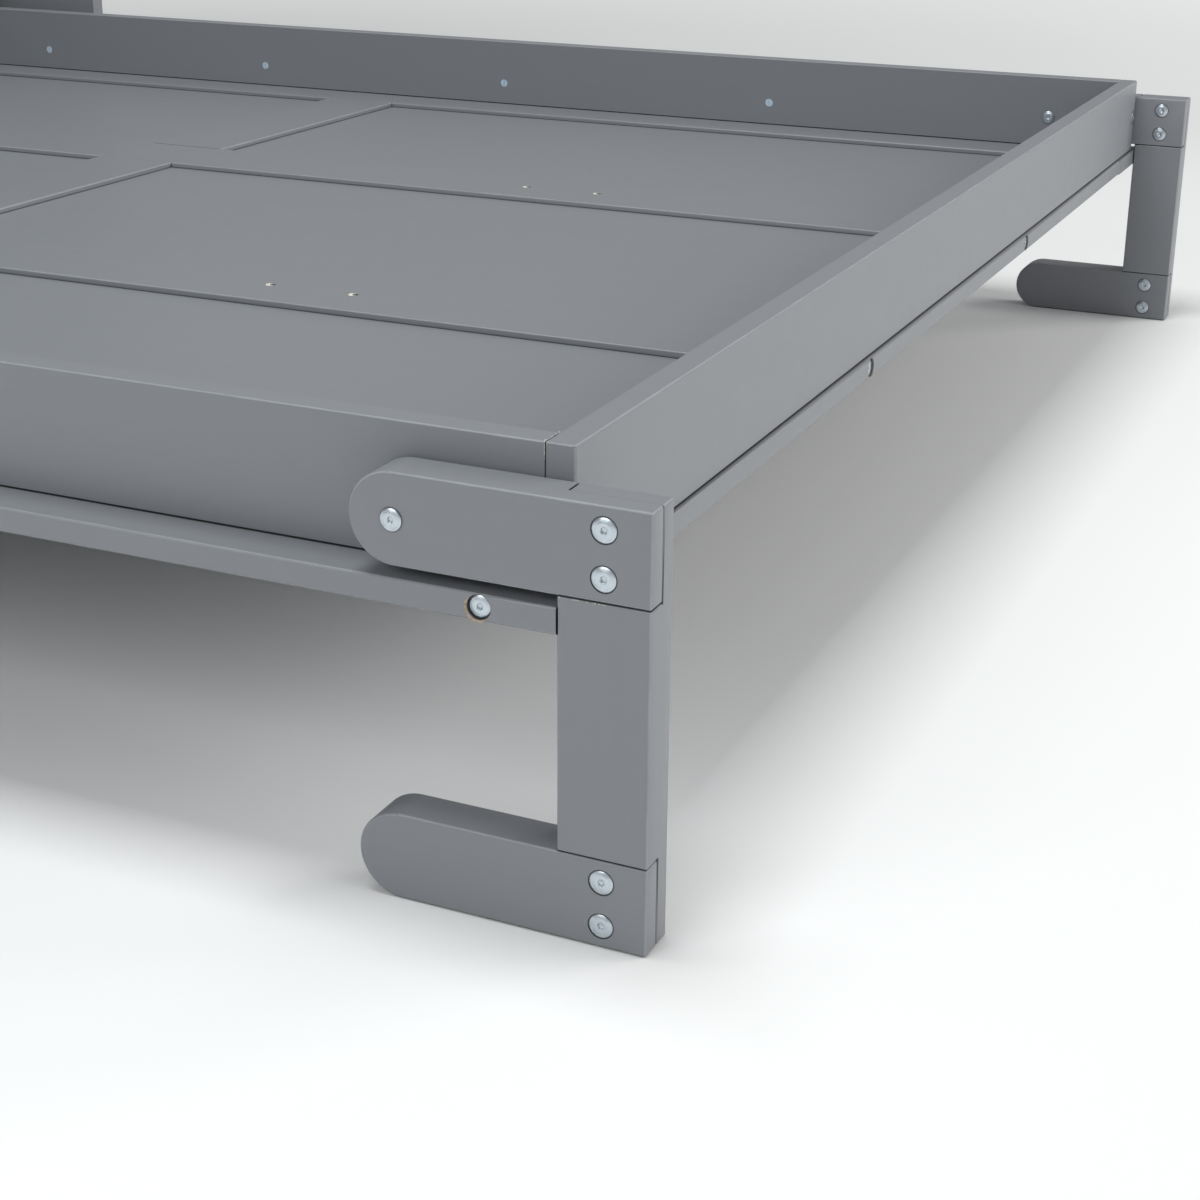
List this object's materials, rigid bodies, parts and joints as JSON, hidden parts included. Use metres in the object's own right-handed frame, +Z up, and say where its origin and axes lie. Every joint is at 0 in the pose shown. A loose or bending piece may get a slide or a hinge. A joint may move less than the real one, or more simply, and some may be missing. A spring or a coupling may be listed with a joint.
{
  "type": "wall bed",
  "caption": "Vertical wall bed, lowered: a cabinet frame, a hinged mattress tray with a panelled face, gas struts and two C-shaped swing legs under the foot end.",
  "frame": {"origin": "on the floor, in the middle of the footprint of the lowered bed and its cabinet", "axes": "+X across the bed, +Y from the foot end to the wall, +Z up from the floor"},
  "size_m": [1.7162, 2.1654, 2.2731],
  "materials": {
    "painted_wood": "satin grey paint on solid wood",
    "painted_panels": "satin grey paint on board",
    "zinc_fasteners": "bright blue zinc plate",
    "threaded_nuts": "zinc plated",
    "hinge_steel": "zinc plated plate",
    "handle_steel": "brushed",
    "nylon_washers": "natural nylon",
    "cylinder_lacquer": "black lacquer",
    "rod_steel": "ground and plated"
  },
  "bodies": {
    "cabinet": {"left_side_panel": "painted_wood", "right_side_panel": "painted_wood", "top_panel": "painted_wood", "header_rail": "painted_wood", "upper_back_rail": "painted_wood", "middle_back_rail": "painted_wood", "lower_back_rail": "painted_wood", "plinth_board": "painted_wood", "left_pivot_bearing": "hinge_steel", "right_pivot_bearing": "hinge_steel", "left_strut_bracket": "hinge_steel", "right_strut_bracket": "hinge_steel", "cabinet_bolts": "zinc_fasteners", "cabinet_barrel_nuts": "threaded_nuts", "hinge_screws": "zinc_fasteners"},
    "bed": {"left_side_rail": "painted_wood", "right_side_rail": "painted_wood", "foot_rail": "painted_wood", "head_rail": "painted_wood", "left_stile": "painted_wood", "right_stile": "painted_wood", "foot_frame_rail": "painted_wood", "head_frame_rail": "painted_wood", "left_mullion": "painted_wood", "right_mullion": "painted_wood", "left_cross_rail": "painted_wood", "centre_cross_rail": "painted_wood", "right_cross_rail": "painted_wood", "left_foot_panel": "painted_panels", "centre_foot_panel": "painted_panels", "right_foot_panel": "painted_panels", "left_head_panel": "painted_panels", "centre_head_panel": "painted_panels", "right_head_panel": "painted_panels", "left_pivot_plate": "hinge_steel", "right_pivot_plate": "hinge_steel", "left_pivot_pin": "hinge_steel", "right_pivot_pin": "hinge_steel", "plate_bolts": "zinc_fasteners", "frame_bolts": "zinc_fasteners", "frame_inserts": "threaded_nuts", "tray_bolts": "zinc_fasteners", "tray_barrel_nuts": "threaded_nuts", "leg_pivot_bolts": "zinc_fasteners", "leg_pivot_nuts": "zinc_fasteners", "leg_spacers": "nylon_washers", "pull_handles": "handle_steel", "handle_screws": "zinc_fasteners"},
    "left_leg": {"left_leg_upper_arm": "painted_wood", "left_leg_upright": "painted_wood", "left_leg_lower_arm": "painted_wood", "left_leg_bolts": "zinc_fasteners"},
    "right_leg": {"right_leg_upper_arm": "painted_wood", "right_leg_upright": "painted_wood", "right_leg_lower_arm": "painted_wood", "right_leg_bolts": "zinc_fasteners"},
    "left_strut_tube": {"left_gas_cylinder": "cylinder_lacquer"},
    "left_strut_rod": {"left_piston_rod": "rod_steel"},
    "right_strut_tube": {"right_gas_cylinder": "cylinder_lacquer"},
    "right_strut_rod": {"right_piston_rod": "rod_steel"}
  },
  "joints": [
    {"name": "lift", "type": "hinge", "parent": "cabinet", "child": "bed", "pos_m": [0, 0.7587, 0.402], "axis": [-1, 0, 0], "range_deg": [0, 90]},
    {"name": "left_leg_swing", "type": "hinge", "parent": "bed", "child": "left_leg", "pos_m": [-0.8166, -0.9223, 0.2435], "axis": [-1, 0, 0], "range_deg": [0, 180]},
    {"name": "right_leg_swing", "type": "hinge", "parent": "bed", "child": "right_leg", "pos_m": [0.8166, -0.9223, 0.2435], "axis": [-1, 0, 0], "range_deg": [0, 180]},
    {"name": "left_strut_swing", "type": "hinge", "parent": "cabinet", "child": "left_strut_tube", "pos_m": [-0.818, 0.9087, 0.852], "axis": [-1, 0, 0], "range_deg": [0, 24.93]},
    {"name": "left_strut_extend", "type": "slide", "parent": "left_strut_tube", "child": "left_strut_rod", "axis": [0, 0.1611, -0.9869], "range_m": [0, 0.2101]},
    {"name": "right_strut_swing", "type": "hinge", "parent": "cabinet", "child": "right_strut_tube", "pos_m": [0.818, 0.9087, 0.852], "axis": [-1, 0, 0], "range_deg": [0, 24.93]},
    {"name": "right_strut_extend", "type": "slide", "parent": "right_strut_tube", "child": "right_strut_rod", "axis": [0, 0.1611, -0.9869], "range_m": [0, 0.2101]}
  ],
  "couplings": [
    {"joint": "left_strut_swing", "follows": "lift", "ratio": 0.27648},
    {"joint": "left_strut_extend", "follows": "lift", "m_per_rad": 0.13341},
    {"joint": "right_strut_swing", "follows": "lift", "ratio": 0.27648},
    {"joint": "right_strut_extend", "follows": "lift", "m_per_rad": 0.13341}
  ]
}
